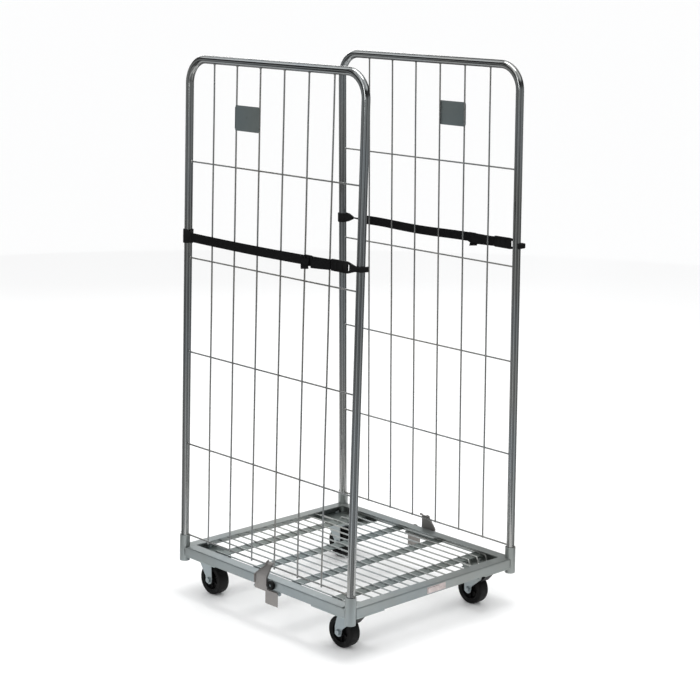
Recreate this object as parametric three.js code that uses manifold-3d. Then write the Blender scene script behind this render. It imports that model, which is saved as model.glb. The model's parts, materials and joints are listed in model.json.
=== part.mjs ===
// Roll cage container: a wheeled wire-floored base, two lift-out side panels,
// two webbing straps, two foot latches, two swivel and two fixed casters.
// Millimetres, +Z up, origin on the ground under the middle of the base.
// The side panels stand at -X and +X. The cage is open to -Y (front) and +Y (rear).
import * as THREE from 'three';
import { mergeVertices } from 'three/addons/utils/BufferGeometryUtils.js';
import Module from 'manifold-3d';

const wasm = await Module();
wasm.setup();

// ---------------------------------------------------------------- driving dimensions
const GAP = 0.3;                      // air left between pieces that touch
const LEAN = THREE.MathUtils.degToRad(1.15);  // each panel leans in by this much

const POLE_SPACING = 777;             // between the two poles of a panel, along Y
const PANEL_SPACING = 700;            // between the panels at the bottom wire, along X
const BOTTOM_WIRE_Z = 200;
const TOP_TUBE_Z = 1514;              // top tube above the bottom wire, along the panel
const TUBE_RADIUS = 12.5;
const TUBE_WALL = 2;
const TUBE_BEND = 75;
const POLE_DEPTH = 80;                // pole end below the bottom wire
const WIRE_RADIUS = 2.5;
const WIRE_RISE = 300;                // between horizontal panel wires
const WIRE_LEVELS = 5;
const UPRIGHT_PITCH = 106;            // between upright panel wires
const UPRIGHTS = 6;
const WIRE_END = 8;                   // bottom wire stands out beyond the poles
const WIRE_STACK = 4.5;               // centre distance of two wires welded crosswise

const RAIL_TOP = 161;
const RAIL_HEIGHT = 30;
const RAIL_FLANGE = 37;
const RAIL_WALL = 3;
const RAIL_OUTSET = 11.5;             // rail face outside the pole centres
const RAIL_X = PANEL_SPACING / 2 + RAIL_OUTSET;
const RAIL_Y = POLE_SPACING / 2 + RAIL_OUTSET;
const RAIL_BOTTOM = RAIL_TOP - RAIL_HEIGHT;

const SOCKET_RADIUS = 16.5;
const SOCKET_BORE = 13.5;
const SOCKET_TOP = -3;                // from the bottom wire, along the panel
const SOCKET_BOTTOM = -89;

const FLOOR_WIRES = 18;
const FLOOR_PITCH = 39.3;
const FLOOR_WIRE_Z = 150.5;
const STRIPS = 4;
const STRIP_PITCH = 181.3;
const STRIP_WIDTH = 40;
const STRIP_THICKNESS = 3;
const SHORT_WIRES = 3;                // at each side, ending bent down onto the corner plates

const CORNER_PLATE = 3.5;
const CORNER_PLATE_TOP = RAIL_BOTTOM - GAP;

const WHEEL_RADIUS = 50;
const WHEEL_WIDTH = 40;
const HUB_RADIUS = 36;
const AXLE_RADIUS = 6;
const CASTER_X = 284;
const REAR_AXLE_Y = 318;
const REAR_PLATE_Y = 340;
const FRONT_AXLE_Y = -293.5;
const SWIVEL_Y = -331;
const CASTER_TOP = CORNER_PLATE_TOP - CORNER_PLATE - GAP;
const CASTER_SHEET = 3;
const PLATE_HALF = 42;                // half the caster plates' width
const FORK_INNER = 23;                // from the wheel's middle to a fork leg

const STRAP_Z = 967;                  // above the bottom wire, along the panel
const STRAP_OUT = 15.8;               // webbing middle outside the pole centres
const WEBBING_WIDTH = 29;
const WEBBING_THICKNESS = 2;

// ---------------------------------------------------------------- materials
const finish = (color, roughness, metalness) =>
  new THREE.MeshStandardMaterial({ color, roughness, metalness });
const ZINC = finish(0xb4babb, 0.42, 0.85);
const TUBE_ZINC = finish(0x9aa0a2, 0.28, 0.9);
const FORK_ZINC = finish(0xc4cbcc, 0.35, 0.85);
const RUBBER = finish(0x1b1b1c, 0.75, 0);
const PLASTIC = finish(0x141415, 0.45, 0);
const WEBBING = finish(0x17171a, 0.9, 0);
const LABEL = finish(0xc9a79c, 0.6, 0);

// ---------------------------------------------------------------- solids
function toSolid(geometry) {
  const bare = geometry.clone();
  bare.deleteAttribute('normal');
  bare.deleteAttribute('uv');
  const merged = mergeVertices(bare);
  return new wasm.Manifold(new wasm.Mesh({
    numProp: 3,
    vertProperties: new Float32Array(merged.attributes.position.array),
    triVerts: new Uint32Array(merged.index.array),
  }));
}

function toGeometry(solid) {
  const mesh = solid.getMesh();
  const geometry = new THREE.BufferGeometry();
  geometry.setAttribute('position', new THREE.BufferAttribute(mesh.vertProperties, 3));
  geometry.setIndex(new THREE.BufferAttribute(mesh.triVerts, 1));
  geometry.computeVertexNormals();
  return geometry;
}

const join = (first, ...others) => others.reduce((sum, next) => sum.add(next), first);
const cut = (first, ...tools) => tools.reduce((rest, tool) => rest.subtract(tool), first);

// A box between two opposite corners.
function block(low, high) {
  const size = high.map((value, i) => value - low[i]);
  const middle = high.map((value, i) => (value + low[i]) / 2);
  return toSolid(new THREE.BoxGeometry(...size).translate(...middle));
}

// A round bar between two points.
function bar(from, to, radius, sides = 8) {
  const start = new THREE.Vector3(...from);
  const end = new THREE.Vector3(...to);
  const along = end.clone().sub(start);
  const geometry = new THREE.CylinderGeometry(radius, radius, along.length(), sides);
  geometry.rotateY(Math.PI / sides);
  const turn = new THREE.Quaternion().setFromUnitVectors(
    new THREE.Vector3(0, 1, 0), along.clone().normalize());
  geometry.applyQuaternion(turn);
  geometry.translate(...start.add(end).multiplyScalar(0.5).toArray());
  return toSolid(geometry);
}

// A plate whose outline lies in the YZ plane, from x = low to x = high.
function plateYZ(outline, low, high) {
  const geometry = new THREE.ExtrudeGeometry(outline, { depth: high - low, bevelEnabled: false });
  geometry.rotateX(Math.PI / 2);
  geometry.rotateZ(Math.PI / 2);
  geometry.translate(low, 0, 0);
  return toSolid(geometry);
}

// A bar whose outline lies in the XZ plane, from y = low to y = high, then turned about Z.
function barXZ(outline, low, high, turn = 0) {
  const geometry = new THREE.ExtrudeGeometry(outline, { depth: high - low, bevelEnabled: false });
  geometry.rotateX(Math.PI / 2);
  geometry.translate(0, high, 0);
  geometry.rotateZ(turn);
  return toSolid(geometry);
}

function outlineOf(points) {
  return new THREE.Shape(points.map(([a, b]) => new THREE.Vector2(a, b)));
}

// A ring turned about the Z axis from a closed (radius, height) profile.
function turned(profile, segments) {
  const closed = [...profile, profile[0]].map(([r, z]) => new THREE.Vector2(r, z));
  return new THREE.LatheGeometry(closed, segments).rotateX(Math.PI / 2);
}

// Curve through stations, one section of the sweep at each of them.
class StationPath extends THREE.Curve {
  constructor(stations) {
    super();
    this.stations = stations;
  }

  getPoint(t) {
    const last = this.stations.length - 1;
    const index = Math.min(Math.floor(t * last + 1e-9), last - 1);
    return this.stations[index].clone().lerp(this.stations[index + 1], t * last - index);
  }

  getPointAt(t) {
    return this.getPoint(t);
  }

  getTangentAt(t) {
    const last = this.stations.length - 1;
    const index = Math.round(t * last);
    const before = this.stations[Math.max(index - 1, 0)];
    const after = this.stations[Math.min(index + 1, last)];
    return after.clone().sub(before).normalize();
  }
}

// ---------------------------------------------------------------- scene graph
const cage = new THREE.Group();
const sideName = (side) => (side < 0 ? 'left' : 'right');

function addMesh(group, name, geometry, material) {
  const mesh = new THREE.Mesh(geometry, material);
  mesh.name = name;
  group.add(mesh);
  return mesh;
}

// A group standing in a panel's own frame: z = 0 at its bottom wire, leaning in.
function panelFrame(side) {
  const group = new THREE.Group();
  group.position.set(side * PANEL_SPACING / 2, 0, BOTTOM_WIRE_Z);
  group.rotation.y = -side * LEAN;
  cage.add(group);
  return group;
}

// ---------------------------------------------------------------- base
// A bar along a corner socket, a little longer and wider, to cut its neighbours with.
function socketClearance(side, end) {
  const spare = 20;
  const at = (height) => [side * (PANEL_SPACING / 2 - Math.sin(LEAN) * height),
    end * POLE_SPACING / 2, BOTTOM_WIRE_Z + height];
  return bar(at(SOCKET_BOTTOM - spare), at(SOCKET_TOP + spare), SOCKET_RADIUS + 2 * GAP, 20);
}

// Angle section: web outside and upright, flange on top pointing in, rounded outer edge.
function angleSection(outer, inward) {
  const shape = new THREE.Shape();
  const edge = 4;
  const edgeSteps = 3;
  shape.moveTo(outer, RAIL_BOTTOM);
  shape.lineTo(outer, RAIL_TOP - edge);
  for (let step = 1; step <= edgeSteps; step += 1) {
    const angle = (step / edgeSteps) * Math.PI / 2;
    shape.lineTo(outer + inward * edge * (1 - Math.cos(angle)),
      RAIL_TOP - edge + edge * Math.sin(angle));
  }
  shape.lineTo(outer + inward * RAIL_FLANGE, RAIL_TOP);
  shape.lineTo(outer + inward * RAIL_FLANGE, RAIL_TOP - RAIL_WALL);
  shape.lineTo(outer + inward * RAIL_WALL, RAIL_TOP - RAIL_WALL);
  shape.lineTo(outer + inward * RAIL_WALL, RAIL_BOTTOM);
  return shape;
}

function addRails() {
  const endRailReach = PANEL_SPACING / 2;
  const sideRailReach = POLE_SPACING / 2 - 8;
  const flangeReach = RAIL_Y - RAIL_FLANGE - GAP;
  for (const side of [-1, 1]) {
    const sockets = [socketClearance(side, -1), socketClearance(side, 1)];
    const middleX = side * (RAIL_X - RAIL_FLANGE / 2);
    const flangeEnd = (end) => {
      const ys = [end * flangeReach, end * RAIL_Y].sort((a, b) => a - b);
      return block([middleX - RAIL_FLANGE / 2 - 1, ys[0], RAIL_TOP - RAIL_WALL - 1],
        [middleX + RAIL_FLANGE / 2 + 1, ys[1], RAIL_TOP + 1]);
    };
    const rail = cut(barXZ(angleSection(side * RAIL_X, -side), -sideRailReach, sideRailReach),
      flangeEnd(-1), flangeEnd(1), ...sockets);
    addMesh(cage, `side_rail_${sideName(side)}`, toGeometry(rail), ZINC);
  }
  for (const end of [-1, 1]) {
    const sockets = [socketClearance(-1, end), socketClearance(1, end)];
    const straight = barXZ(angleSection(RAIL_Y, -1), -endRailReach, endRailReach, end * Math.PI / 2);
    const rail = cut(straight, ...sockets);
    addMesh(cage, end < 0 ? 'front_rail' : 'rear_rail', toGeometry(rail), ZINC);
  }
}

function addSockets() {
  for (const side of [-1, 1]) {
    const frame = panelFrame(side);
    for (const end of [-1, 1]) {
      const ring = turned([[SOCKET_BORE, SOCKET_BOTTOM], [SOCKET_RADIUS, SOCKET_BOTTOM],
        [SOCKET_RADIUS, SOCKET_TOP], [SOCKET_BORE, SOCKET_TOP]], 20);
      const name = `corner_socket_${end < 0 ? 'front' : 'rear'}_${sideName(side)}`;
      addMesh(frame, name, ring, ZINC).position.y = end * POLE_SPACING / 2;
    }
  }
}

// Gusset plates under the four corners carry the casters.
function addCornerPlates() {
  const legX = 140;
  const legY = 172;
  const chamferX = 67;
  const chamferY = 86;
  const cornerCut = 12;
  const above = 20;
  const top = CORNER_PLATE_TOP;
  for (const side of [-1, 1]) {
    for (const end of [-1, 1]) {
      const corner = new THREE.Shape([[RAIL_X, RAIL_Y], [RAIL_X - legX, RAIL_Y],
        [RAIL_X - legX, RAIL_Y - legY + chamferY], [RAIL_X - legX + chamferX, RAIL_Y - legY],
        [RAIL_X, RAIL_Y - legY]].map(([x, y]) => new THREE.Vector2(side * x, end * y)));
      const sheet = new THREE.ExtrudeGeometry(corner, { depth: CORNER_PLATE, bevelEnabled: false });
      sheet.translate(0, 0, top - CORNER_PLATE);
      const cutX = side * (RAIL_X - cornerCut);
      const cutY = end * (RAIL_Y - cornerCut);
      const outside = block([cutX - cornerCut, cutY - cornerCut, top - above],
        [cutX + cornerCut, cutY + cornerCut, top + above]);
      const holes = [socketClearance(side, end), outside];
      if (end < 0) {
        holes.push(bar([side * CASTER_X, SWIVEL_Y, top - above],
          [side * CASTER_X, SWIVEL_Y, top + above], AXLE_RADIUS + 2 * GAP, 16));
      }
      const name = `corner_plate_${end < 0 ? 'front' : 'rear'}_${sideName(side)}`;
      addMesh(cage, name, toGeometry(cut(toSolid(sheet), ...holes)), ZINC);
    }
  }
}

// Floor: wires along Y, welded on top of flat strips that run along X. The outer wires
// end beside the outer strips, bent down onto the corner plates.
function addFloor() {
  const wireReach = RAIL_Y - RAIL_WALL - GAP;
  const stripReach = RAIL_X - RAIL_WALL - GAP;
  const stripTop = FLOOR_WIRE_Z - WIRE_RADIUS + 0.4;
  const pieces = [];
  for (let index = 0; index < STRIPS; index += 1) {
    const y = (index - (STRIPS - 1) / 2) * STRIP_PITCH;
    pieces.push(block([-stripReach, y - STRIP_WIDTH / 2, stripTop - STRIP_THICKNESS],
      [stripReach, y + STRIP_WIDTH / 2, stripTop]));
  }
  const bendY = (STRIPS - 1) / 2 * STRIP_PITCH + STRIP_WIDTH / 2;
  const footY = bendY + 13;
  const footZ = CORNER_PLATE_TOP + WIRE_RADIUS;
  for (let index = 0; index < FLOOR_WIRES; index += 1) {
    const x = (index - (FLOOR_WIRES - 1) / 2) * FLOOR_PITCH;
    const isShort = index < SHORT_WIRES || index >= FLOOR_WIRES - SHORT_WIRES;
    const reach = isShort ? bendY : wireReach;
    pieces.push(bar([x, -reach, FLOOR_WIRE_Z], [x, reach, FLOOR_WIRE_Z], WIRE_RADIUS, 6));
    for (const end of isShort ? [-1, 1] : []) {
      pieces.push(bar([x, end * (bendY - 1), FLOOR_WIRE_Z], [x, end * footY, footZ], WIRE_RADIUS, 6));
    }
  }
  addMesh(cage, 'floor_grid', toGeometry(join(...pieces)), ZINC);
}

function addFrontLabel() {
  const [length, thickness, height] = [80, 0.8, 20];
  const middleY = -RAIL_Y - GAP - thickness / 2;
  const plate = new THREE.BoxGeometry(length, thickness, height);
  plate.translate(0, middleY, RAIL_BOTTOM + 14);
  addMesh(cage, 'front_label', plate, LABEL);
}

// ---------------------------------------------------------------- side panels
function tubeSection(radius) {
  const shape = new THREE.Shape();
  shape.absarc(0, 0, radius, 0, Math.PI * 2);
  return shape;
}

function addTubeFrame(group, side) {
  const half = POLE_SPACING / 2;
  const bendSteps = 5;
  const stations = [new THREE.Vector3(0, half, -POLE_DEPTH)];
  for (const end of [1, -1]) {
    for (let step = 0; step <= bendSteps; step += 1) {
      const turn = (end > 0 ? step : bendSteps - step) / bendSteps * Math.PI / 2;
      stations.push(new THREE.Vector3(0, end * (half - TUBE_BEND + TUBE_BEND * Math.cos(turn)),
        TOP_TUBE_Z - TUBE_BEND + TUBE_BEND * Math.sin(turn)));
    }
  }
  stations.push(new THREE.Vector3(0, -half, -POLE_DEPTH));
  const path = new StationPath(stations);
  const section = tubeSection(TUBE_RADIUS);
  section.holes.push(tubeSection(TUBE_RADIUS - TUBE_WALL));
  const tube = new THREE.ExtrudeGeometry(section,
    { steps: stations.length - 1, extrudePath: path, curveSegments: 8 });
  const past = 30;
  const wireHole = bar([0, -half - past, 0], [0, half + past, 0], WIRE_RADIUS + 2 * GAP, 8);
  addMesh(group, `tube_frame_${sideName(side)}`, toGeometry(cut(toSolid(tube), wireHole)), TUBE_ZINC);
}

// Level wires run from pole to pole, upright wires are welded on their outer side.
function addWireMesh(group, side) {
  const poleFace = POLE_SPACING / 2 - TUBE_RADIUS - GAP;
  const wires = [];
  for (let level = 0; level < WIRE_LEVELS; level += 1) {
    const reach = level === 0 ? POLE_SPACING / 2 + TUBE_RADIUS + WIRE_END : poleFace;
    wires.push(bar([0, -reach, level * WIRE_RISE], [0, reach, level * WIRE_RISE], WIRE_RADIUS, 6));
  }
  const x = side * WIRE_STACK;
  const tubeUnderside = TOP_TUBE_Z - Math.sqrt(TUBE_RADIUS ** 2 - (WIRE_STACK - WIRE_RADIUS) ** 2);
  const footZ = -4;
  for (let index = 0; index < UPRIGHTS; index += 1) {
    const y = (index - (UPRIGHTS - 1) / 2) * UPRIGHT_PITCH;
    wires.push(bar([x, y, footZ], [x, y, tubeUnderside - GAP], WIRE_RADIUS, 6));
  }
  addMesh(group, `wire_mesh_${sideName(side)}`, toGeometry(join(...wires)), ZINC);
}

// Sheet for an address card, outside the wires, between the second and third uprights.
function addCardPlate(group, side) {
  const height = 76;
  const thickness = 1.5;
  const middleZ = 1350;
  const plate = new THREE.BoxGeometry(thickness, UPRIGHT_PITCH + 2, height);
  const x = side * (WIRE_STACK + WIRE_RADIUS + GAP + thickness / 2);
  plate.translate(x, -side * UPRIGHT_PITCH, middleZ);
  addMesh(group, `card_plate_${sideName(side)}`, plate, ZINC);
}

// ---------------------------------------------------------------- straps
// Strap places along Y: the sewn loop turns round the rear pole, the hook bears on the front pole.
const STRAP_REAR = POLE_SPACING / 2;
const TONGUE_END = STRAP_REAR - 36;
const SLIDE_Y = -188;
const HOOK_TAIL = -285;
const HOOK_WAIST = -341;
const HOOK_NECK = -384;
const HOOK_TIP = -POLE_SPACING / 2 - TUBE_RADIUS - 0.8;

// An outline in Y and height, the same above and below the strap's middle height.
function strapOutline(halfHeights) {
  const above = halfHeights.map(([y, half]) => [y, STRAP_Z + half]);
  const below = halfHeights.map(([y, half]) => [y, STRAP_Z - half]);
  return outlineOf([...below, ...above.reverse()]);
}

function strapLoop(x) {
  const halfHeight = 25;
  const halfThickness = 2;
  const wall = 4;
  const bore = TUBE_RADIUS + 2 * GAP;
  const around = (radius, half) => bar([0, STRAP_REAR, STRAP_Z - half],
    [0, STRAP_REAR, STRAP_Z + half], radius, 16);
  const tongue = plateYZ(strapOutline([[STRAP_REAR, halfHeight], [STRAP_REAR - 20, halfHeight],
    [TONGUE_END, 17]]), x - halfThickness, x + halfThickness);
  return cut(join(around(bore + wall, halfHeight), tongue), around(bore, halfHeight + 10));
}

function strapWebbing(x) {
  return block(
    [x - WEBBING_THICKNESS / 2, HOOK_TAIL + GAP, STRAP_Z - WEBBING_WIDTH / 2],
    [x + WEBBING_THICKNESS / 2, TONGUE_END - GAP, STRAP_Z + WEBBING_WIDTH / 2]);
}

function strapSlide(x) {
  const body = block([x - 4, SLIDE_Y - 18, STRAP_Z - 19], [x + 4, SLIDE_Y + 18, STRAP_Z + 19]);
  const slot = block([x - 1.5, SLIDE_Y - 30, STRAP_Z - 15.5], [x + 1.5, SLIDE_Y + 30, STRAP_Z + 15.5]);
  return cut(body, slot);
}

function strapHook(x, side) {
  const neckHalf = 8;
  const tipLength = 7;
  const halfThickness = 2.5;
  const plate = plateYZ(strapOutline([[HOOK_TAIL, 17.5], [HOOK_WAIST, 17.5], [HOOK_WAIST - 16, 15],
    [HOOK_NECK, neckHalf], [HOOK_TIP - tipLength, neckHalf]]), x - halfThickness, x + halfThickness);
  const reach = [x - side * 2, -side * TUBE_RADIUS].sort((a, b) => a - b);
  const finger = block([reach[0], HOOK_TIP - tipLength, STRAP_Z - neckHalf],
    [reach[1], HOOK_TIP, STRAP_Z + neckHalf]);
  const slot = block([x - 9, HOOK_WAIST - 9, STRAP_Z - 13], [x + 9, HOOK_WAIST - 3, STRAP_Z + 13]);
  return cut(join(plate, finger), slot);
}

function addStrap(group, side) {
  const x = side * STRAP_OUT;
  const name = sideName(side);
  addMesh(group, `strap_loop_${name}`, toGeometry(strapLoop(x)), RUBBER);
  addMesh(group, `strap_webbing_${name}`, toGeometry(strapWebbing(x)), WEBBING);
  addMesh(group, `strap_slide_${name}`, toGeometry(strapSlide(x)), PLASTIC);
  addMesh(group, `strap_hook_${name}`, toGeometry(strapHook(x, side)), PLASTIC);
}

function addPanels() {
  for (const side of [-1, 1]) {
    const group = panelFrame(side);
    addTubeFrame(group, side);
    addWireMesh(group, side);
    addCardPlate(group, side);
    addStrap(group, side);
  }
}

// ---------------------------------------------------------------- foot latches
// They are shaped for the left side. The right one is the same part turned half round.
const LATCH_X = -RAIL_X + 1;          // hinge pin
const LATCH_Z = RAIL_BOTTOM - 6.5;
const LATCH_BARREL = 4.5;
const LATCH_PIN = 2.5;
const LATCH_FRONT = -82;              // along Y: the foot tab's two edges
const LATCH_TAB = -26;
const LATCH_SHEET = 2.4;
const LATCH_RIM = 6;                  // height of the flanged edges
const LATCH_FOOT = 82;
const LATCH_EAR = 4;                  // bracket ears outside the barrel
// Along Y, in each latch's own frame: the hook's rear and front edge at the rail and at the wire.
const LATCH_HOOKS = {
  left: { rear: 24, front: -34, neckRear: -17, neckFront: -45 },
  right: { rear: 40, front: -18, neckRear: 22, neckFront: -10 },
};

const alongY = (low, high, radius, sides) =>
  bar([LATCH_X, low, LATCH_Z], [LATCH_X, high, LATCH_Z], radius, sides);

// The plate's line in X and Z: upright outside the rail, then bent in over the bottom wire.
function latchLine(offset) {
  const face = -RAIL_X - 2.6;
  const poleX = -PANEL_SPACING / 2;
  return [[face - offset, LATCH_FOOT - 1], [face - offset, RAIL_TOP + 5],
    [poleX - 6.6 - offset, BOTTOM_WIRE_Z - 3],
    [poleX - 4.8 - offset * 0.8, BOTTOM_WIRE_Z + 4.4 + offset * 0.5],
    [poleX + 0.4, BOTTOM_WIRE_Z + 7.6 + offset], [poleX + 4.2, BOTTOM_WIRE_Z + 7.8 + offset]];
}

// A layer of the plate between two offsets from its inner face.
function latchLayer(inner, outer) {
  return barXZ(outlineOf([...latchLine(inner), ...latchLine(outer).reverse()]),
    LATCH_FRONT - 1, LATCH_HOOKS.right.rear + 1);
}

// The hook tapers from the rail up to the wire. The margin draws its edges in.
function latchHookOutline(hook, margin) {
  const base = RAIL_BOTTOM - 11;
  const shoulder = RAIL_TOP + 3;
  const neck = BOTTOM_WIRE_Z + 1;
  const crest = BOTTOM_WIRE_Z + 30;
  const neckRear = hook.neckRear - margin;
  const neckFront = hook.neckFront + margin;
  return outlineOf([[hook.rear - margin, base], [hook.rear - margin, shoulder], [neckRear, neck],
    [neckRear, crest], [neckFront, crest], [neckFront, neck], [hook.front + margin, shoulder],
    [hook.front + margin, base]]);
}

function latchPlate(hand) {
  const [outX, inX] = [-400, -330];
  const reachY = 60;
  const split = RAIL_TOP - 24;
  const upper = block([outX, -reachY, split], [inX, reachY, BOTTOM_WIRE_Z + 60]);
  const lower = block([outX, -reachY, LATCH_FOOT - 15], [inX, reachY, split]);
  const tab = block([outX, LATCH_FRONT, LATCH_FOOT], [inX, LATCH_TAB, RAIL_BOTTOM - 4.5]);
  const hook = latchLayer(0, LATCH_RIM).intersect(plateYZ(latchHookOutline(hand, 0), outX, inX));
  const dish = latchLayer(LATCH_SHEET, LATCH_RIM * 2);
  const dished = dish.intersect(plateYZ(latchHookOutline(hand, LATCH_SHEET), outX, inX)).intersect(upper);
  const pedal = latchLayer(0, LATCH_SHEET).intersect(tab);
  const barrel = alongY(LATCH_FRONT, hand.rear, LATCH_BARREL, 16);
  const bore = alongY(LATCH_FRONT - 5, hand.rear + 5, LATCH_PIN + 0.4, 16);
  return cut(join(cut(hook, dished, dish.intersect(lower)), pedal, barrel), bore);
}

function latchBracket(hand) {
  const low = LATCH_FRONT - LATCH_EAR;
  const high = hand.rear + LATCH_EAR;
  const [outX, inX] = [LATCH_X - 2.5, LATCH_X + 6];
  const web = block([outX, low, RAIL_BOTTOM - 1.6], [inX, high, RAIL_BOTTOM - GAP]);
  const ear = (from, to) => block([outX, from, LATCH_Z - 6], [inX, to, RAIL_BOTTOM - 1]);
  const ears = [ear(low, LATCH_FRONT - 0.4), ear(hand.rear + 0.4, high)];
  const bore = alongY(low - 5, high + 5, LATCH_PIN + 0.4, 12);
  return cut(join(web, ...ears), bore);
}

function latchPin(hand) {
  const low = LATCH_FRONT - LATCH_EAR - GAP;
  const high = hand.rear + LATCH_EAR + GAP;
  const head = 2.5;
  const headRadius = 4;
  return join(alongY(low - 2, high + 2, LATCH_PIN, 12),
    alongY(low - head, low, headRadius, 12), alongY(high, high + head, headRadius, 12));
}

function railBuffer() {
  const depth = 11;
  const radius = 14;
  const hole = 3;
  const edge = 3;
  const profile = [[hole, 0], [radius, 0], [radius, depth - edge], [radius - edge, depth],
    [hole, depth]];
  const disc = turned(profile, 16).rotateY(-Math.PI / 2);
  return disc.translate(-RAIL_X - GAP, -52, RAIL_BOTTOM + 14.5);
}

function addLatches() {
  for (const side of [-1, 1]) {
    const group = new THREE.Group();
    group.rotation.z = side < 0 ? 0 : Math.PI;
    cage.add(group);
    const hand = LATCH_HOOKS[sideName(side)];
    addMesh(group, `latch_plate_${sideName(side)}`, toGeometry(latchPlate(hand)), ZINC);
    addMesh(group, `latch_bracket_${sideName(side)}`, toGeometry(latchBracket(hand)), ZINC);
    addMesh(group, `latch_pin_${sideName(side)}`, toGeometry(latchPin(hand)), ZINC);
    addMesh(group, `rail_buffer_${sideName(side)}`, railBuffer(), RUBBER);
  }
}

// ---------------------------------------------------------------- casters
function addWheel(group, place) {
  const half = WHEEL_WIDTH / 2;
  const shoulder = 5;
  const web = 8;
  const boss = 13;
  const bore = AXLE_RADIUS + 0.4;
  const tyre = turned([[HUB_RADIUS + GAP, -half + 1], [WHEEL_RADIUS - shoulder, -half],
    [WHEEL_RADIUS, -half + shoulder], [WHEEL_RADIUS, half - shoulder],
    [WHEEL_RADIUS - shoulder, half], [HUB_RADIUS + GAP, half - 1]], 32);
  const hub = turned([[bore, -half - 2], [boss, -half - 2], [boss, -web], [HUB_RADIUS, -web],
    [HUB_RADIUS, web], [boss, web], [boss, half + 2], [bore, half + 2]], 20);
  addMesh(group, `tyre_${place}`, tyre.rotateY(Math.PI / 2), RUBBER);
  addMesh(group, `wheel_hub_${place}`, hub.rotateY(Math.PI / 2), PLASTIC);
}

// Bolt through both fork legs: hexagonal head on one side, nut on the other.
function addAxle(group, place) {
  const leg = FORK_INNER + CASTER_SHEET + GAP;
  const headHeight = 6;
  const headRadius = 9.5;
  const head = (x) => bar([x, 0, 0], [x + headHeight, 0, 0], headRadius, 6);
  const axle = join(bar([-leg - 5, 0, 0], [leg + 8, 0, 0], AXLE_RADIUS, 14),
    head(-leg - headHeight), head(leg));
  addMesh(group, `axle_bolt_${place}`, toGeometry(axle), FORK_ZINC);
}

const forkHole = (y, z, radius, sides) => bar([-60, y, z], [60, y, z], radius + 0.4, sides);

// Leg outline in Y and height about the axle, closed below by the round end of the leg.
function legOutline(frontEdge, rearEdge) {
  const end = 14;
  const steps = 8;
  const points = [...frontEdge];
  for (let step = 0; step <= steps; step += 1) {
    const angle = Math.PI + (step / steps) * Math.PI;
    points.push([end * Math.cos(angle), end * Math.sin(angle)]);
  }
  return outlineOf([...points, ...rearEdge]);
}

function legs(outline) {
  return [plateYZ(outline, FORK_INNER, FORK_INNER + CASTER_SHEET),
    plateYZ(outline, -FORK_INNER - CASTER_SHEET, -FORK_INNER)];
}

function addFixedCasters() {
  const top = CASTER_TOP - WHEEL_RADIUS;
  const plateY = REAR_PLATE_Y - REAR_AXLE_Y;
  const plateReach = 52;
  for (const side of [-1, 1]) {
    const place = `rear_${sideName(side)}`;
    const group = new THREE.Group();
    group.position.set(side * CASTER_X, REAR_AXLE_Y, WHEEL_RADIUS);
    cage.add(group);
    const outline = legOutline([[-11, top - 1], [-14, 20]], [[16, 10], [62, top - 1]]);
    const plate = block([-PLATE_HALF, plateY - plateReach, top - CASTER_SHEET],
      [PLATE_HALF, plateY + plateReach, top]);
    const fork = cut(join(plate, ...legs(outline)), forkHole(0, 0, AXLE_RADIUS, 14));
    addMesh(group, `fixed_fork_${place}`, toGeometry(fork), FORK_ZINC);
    addAxle(group, place);
    addWheel(group, place);
  }
}

// Brake lever about its own pin. Its shoe meets the tyre when the toe end is pressed.
const BRAKE_Y = SWIVEL_Y - 7 - FRONT_AXLE_Y;
const BRAKE_Z = 50;
const BRAKE_PIN = 3;

function brakePedal() {
  const lever = plateYZ(outlineOf([[-27, 10], [-8, 10], [-5.5, 5.6], [5, 5.6], [7, 1], [5, -8],
    [0.5, -17.5], [-4, -15.5]]), -18, 18);
  const pin = bar([-FORK_INNER - CASTER_SHEET - 2, 0, 0], [FORK_INNER + CASTER_SHEET + 2, 0, 0],
    BRAKE_PIN, 12);
  return join(lever, pin);
}

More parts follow.
